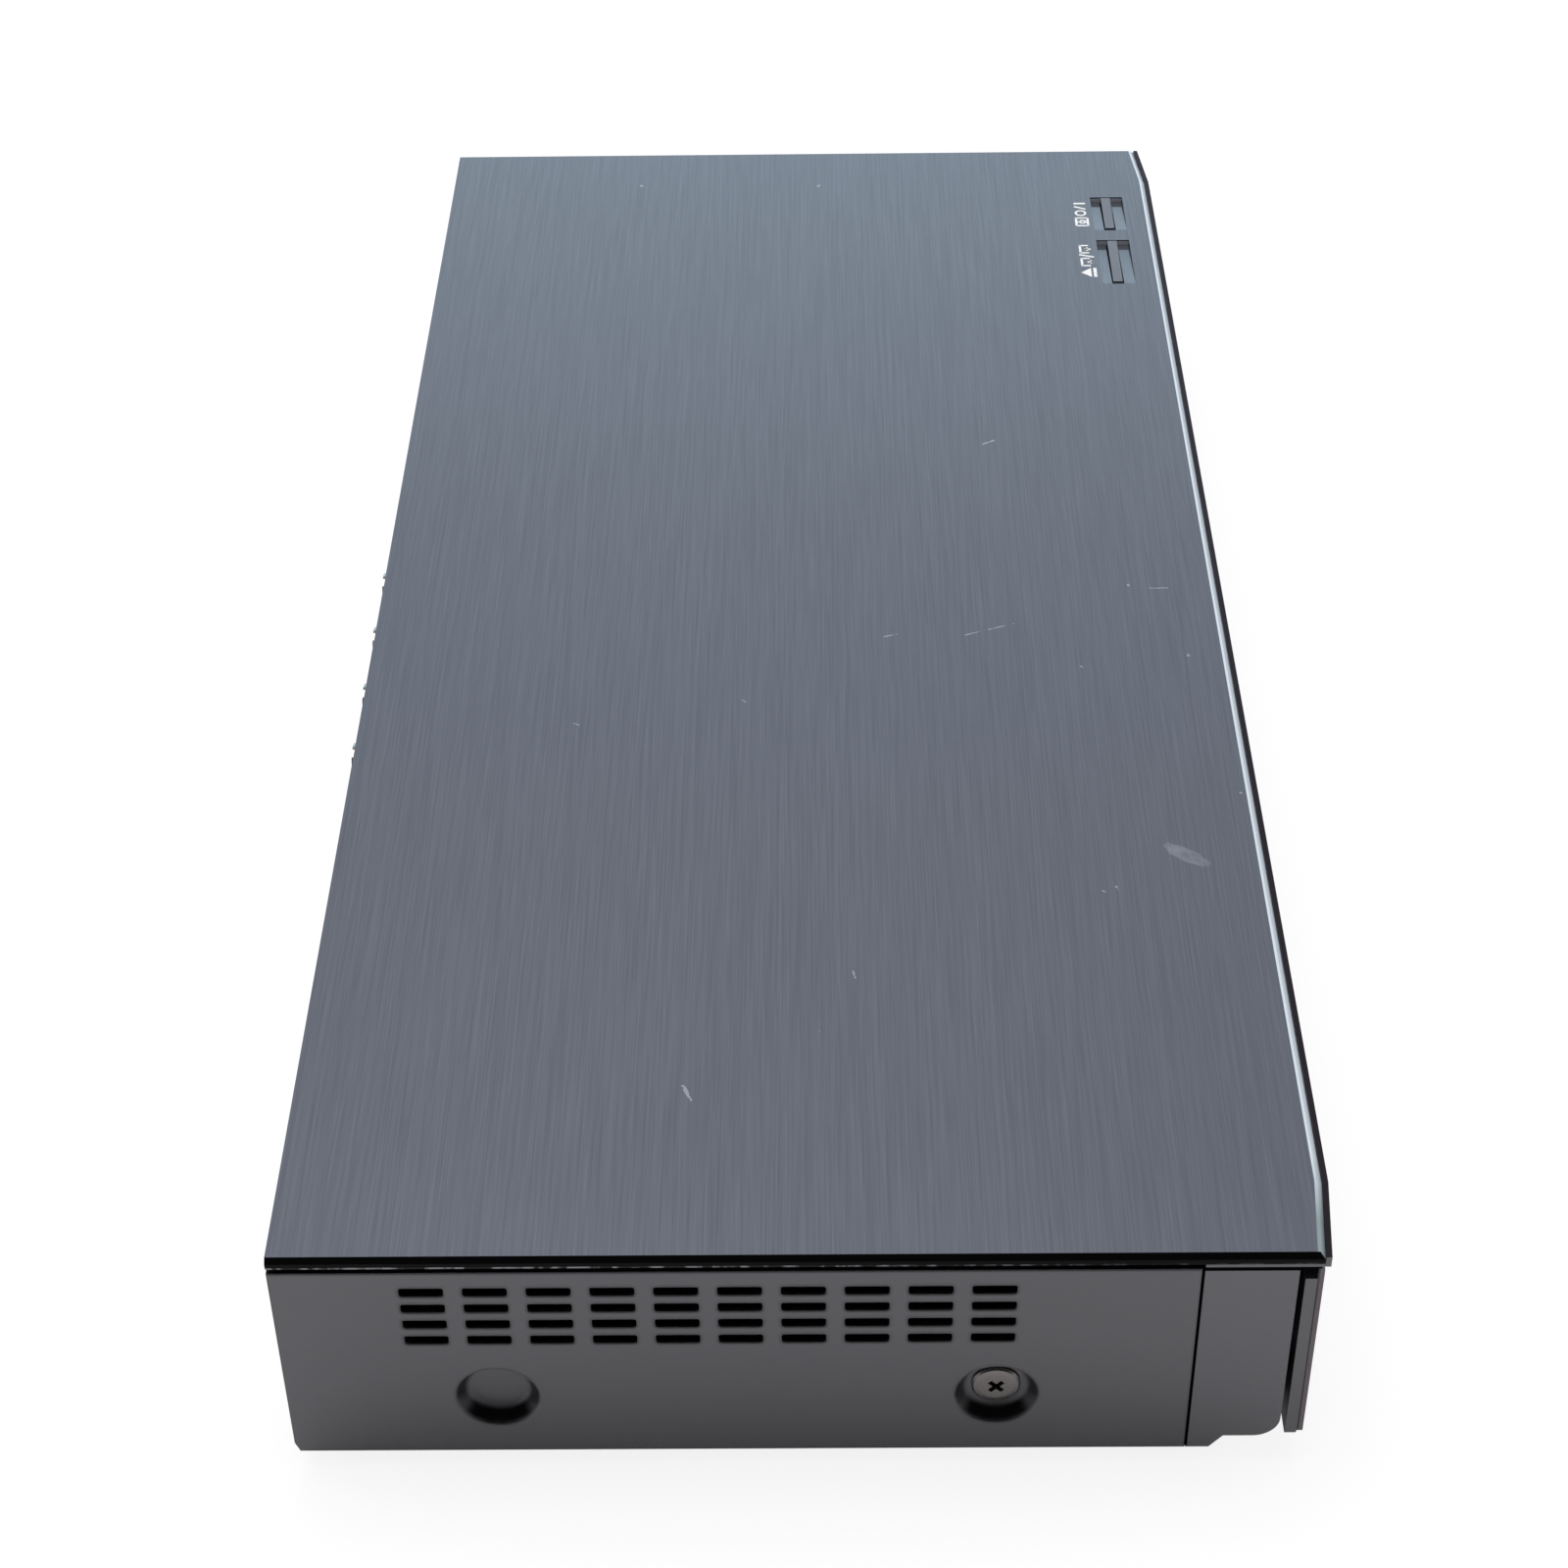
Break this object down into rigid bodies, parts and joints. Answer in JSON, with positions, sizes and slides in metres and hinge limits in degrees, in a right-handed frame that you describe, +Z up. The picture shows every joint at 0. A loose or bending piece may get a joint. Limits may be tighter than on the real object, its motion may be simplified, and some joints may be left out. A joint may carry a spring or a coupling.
{
  "type": "blu-ray recorder",
  "caption": "Flat full-width disc recorder with a hard disk: vented steel cabinet, gloss top plate with two buttons, drop-down front door and a powered disc tray.",
  "frame": {"origin": "on the floor below the middle of the overall box, from the front lip to the tips of the aerial connectors", "axes": "+X to the right seen from the front, +Y to the rear panel, +Z up"},
  "size_m": [0.43, 0.208, 0.059],
  "materials": {
    "top_gloss": "brushed under clear gloss",
    "tape": "foam tape",
    "coated_steel": "satin powder coat",
    "zinc_steel": "galvanised sheet",
    "frame_plastic": "satin moulded",
    "smoked_acrylic": "dark clear gloss",
    "bright_steel": "bright",
    "magnet": "sintered",
    "foot_plastic": "matt",
    "foot_rubber": "matt",
    "button_plastic": "satin",
    "circuit_board": "solder resist",
    "display_glass": "gloss",
    "socket_plastic": "matt",
    "drive_plastic": "matt",
    "tray_plastic": "fine texture",
    "bezel_gloss": "gloss",
    "motor_can": "plated can",
    "brass": "turned",
    "belt_rubber": "matt",
    "gear_plastic": "natural acetal",
    "die_cast": "die cast",
    "lens_glass": "polished",
    "polished_rod": "ground",
    "disk_lid": "stamped",
    "platter_mirror": "polished",
    "aluminium": "extruded",
    "ferrite": "ferrite with tape",
    "nickel": "nickel plated",
    "fan_plastic": "matt",
    "ribbon": "white flat cable",
    "black_screw": "black plated"
  },
  "bodies": {
    "root": {"access_card_socket": "socket_plastic", "aerial_connectors": "nickel", "av_jacks": "socket_plastic", "bottom_chassis": "zinc_steel", "chassis_screws": "bright_steel", "display": "display_glass", "door_magnets": "magnet", "door_pins": "bright_steel", "drive_cover": "zinc_steel", "drive_frame": "drive_plastic", "fan_frame": "fan_plastic", "feet": "foot_plastic", "foot_pads": "foot_rubber", "front_board": "circuit_board", "front_frame": "frame_plastic", "front_usb_socket": "bright_steel", "hard_disk_board": "circuit_board", "hard_disk_body": "die_cast", "hard_disk_lid": "disk_lid", "hdmi_socket": "bright_steel", "heat_sink": "aluminium", "lan_socket": "bright_steel", "loading_belt": "belt_rubber", "loading_motor": "motor_can", "main_board": "circuit_board", "mains_inlet": "socket_plastic", "memory_card_socket": "socket_plastic", "plate_tape": "tape", "power_board": "circuit_board", "rear_panel": "zinc_steel", "rear_screws": "black_screw", "ribbon_cables": "ribbon", "side_screws": "black_screw", "switch_board": "circuit_board", "top_cover": "coated_steel", "top_plate": "top_gloss", "transformer": "ferrite", "tuner_can": "bright_steel"},
    "door": {"door_backing": "frame_plastic", "door_window": "smoked_acrylic"},
    "tray": {"disc_tray": "tray_plastic", "tray_bezel": "bezel_gloss"},
    "power_key": {"power_button": "button_plastic"},
    "eject_key": {"eject_button": "button_plastic"},
    "loading_motor_pulley": {"motor_pulley": "brass"},
    "loading_pulley_wheel": {"loading_pulley": "gear_plastic"},
    "loading_gear_wheel": {"loading_gear": "gear_plastic"},
    "slider": {"cam_slider": "gear_plastic"},
    "traverse": {"traverse_frame": "zinc_steel", "spindle_motor": "motor_can", "guide_rods": "polished_rod", "sled_motor": "motor_can"},
    "spindle": {"turntable": "tray_plastic"},
    "clamp": {"clamper": "gear_plastic"},
    "pickup": {"pickup_sled": "die_cast"},
    "lens": {"objective_lens": "lens_glass"},
    "sled_screw": {"lead_screw": "polished_rod"},
    "platters": {"hard_disk_platters": "platter_mirror"},
    "disk_arm": {"hard_disk_arm": "die_cast"},
    "fan": {"fan_rotor": "fan_plastic"}
  },
  "joints": [
    {"name": "door_hinge", "type": "hinge", "parent": "root", "child": "door", "pos_m": [0, -0.09225, 0.013], "axis": [1, 0, 0], "range_deg": [0, 90]},
    {"name": "tray_slide", "type": "slide", "parent": "root", "child": "tray", "axis": [0, -1, 0], "range_m": [0, 0.14]},
    {"name": "loading_gear_spin", "type": "hinge", "parent": "root", "child": "loading_gear_wheel", "pos_m": [-0.069, -0.078, 0.038], "axis": [0, 0, 1], "range_deg": [-900, 0]},
    {"name": "loading_pulley_spin", "type": "hinge", "parent": "root", "child": "loading_pulley_wheel", "pos_m": [-0.083, -0.078, 0.034], "axis": [0, 0, 1], "range_deg": [0, 1620]},
    {"name": "motor_pulley_spin", "type": "hinge", "parent": "root", "child": "loading_motor_pulley", "pos_m": [-0.13, -0.078, 0.032], "axis": [0, 0, 1], "range_deg": [0, 4040]},
    {"name": "power_press", "type": "slide", "parent": "root", "child": "power_key", "axis": [0, 0, -1], "range_m": [0, 0.0006], "stiffness_N_per_m": 800, "springref_m": -0.001},
    {"name": "eject_press", "type": "slide", "parent": "root", "child": "eject_key", "axis": [0, 0, -1], "range_m": [0, 0.0006], "stiffness_N_per_m": 800, "springref_m": -0.001},
    {"name": "traverse_lift", "type": "hinge", "parent": "root", "child": "traverse", "pos_m": [-0.108, 0.07, 0.032], "axis": [1, 0, 0], "range_deg": [0, 5]},
    {"name": "cam_slide", "type": "slide", "parent": "root", "child": "slider", "axis": [1, 0, 0], "range_m": [0, 0.0121]},
    {"name": "spindle_spin", "type": "hinge", "parent": "traverse", "child": "spindle", "pos_m": [-0.108, -0.026, 0.044], "axis": [0, 0, 1], "continuous": true},
    {"name": "clamper_spin", "type": "hinge", "parent": "root", "child": "clamp", "pos_m": [-0.108, -0.026, 0.05], "axis": [0, 0, 1], "continuous": true},
    {"name": "pickup_slide", "type": "slide", "parent": "traverse", "child": "pickup", "axis": [0, 1, 0], "range_m": [0, 0.035]},
    {"name": "lens_focus", "type": "slide", "parent": "pickup", "child": "lens", "axis": [0, 0, 1], "range_m": [-0.0004, 0.0004], "stiffness_N_per_m": 60},
    {"name": "lead_screw_spin", "type": "hinge", "parent": "traverse", "child": "sled_screw", "pos_m": [-0.144, 0.02, 0.0365], "axis": [0, 1, 0], "range_deg": [0, 4220]},
    {"name": "platter_spin", "type": "hinge", "parent": "root", "child": "platters", "pos_m": [0.0308, -0.0342, 0.038], "axis": [0, 0, 1], "continuous": true},
    {"name": "disk_arm_swing", "type": "hinge", "parent": "root", "child": "disk_arm", "pos_m": [0.088, -0.052, 0.038], "axis": [0, 0, 1], "range_deg": [0, 34]},
    {"name": "fan_spin", "type": "hinge", "parent": "root", "child": "fan", "pos_m": [0.166, 0.088, 0.029], "axis": [0, 1, 0], "continuous": true}
  ],
  "couplings": [
    {"joint": "loading_gear_spin", "follows": "tray_slide", "rad_per_m": -111.11},
    {"joint": "loading_pulley_spin", "follows": "tray_slide", "rad_per_m": 200},
    {"joint": "motor_pulley_spin", "follows": "tray_slide", "rad_per_m": 500},
    {"joint": "cam_slide", "follows": "traverse_lift", "m_per_rad": 0.13751},
    {"joint": "clamper_spin", "follows": "spindle_spin", "ratio": 1},
    {"joint": "lead_screw_spin", "follows": "pickup_slide", "rad_per_m": 2094.4}
  ]
}
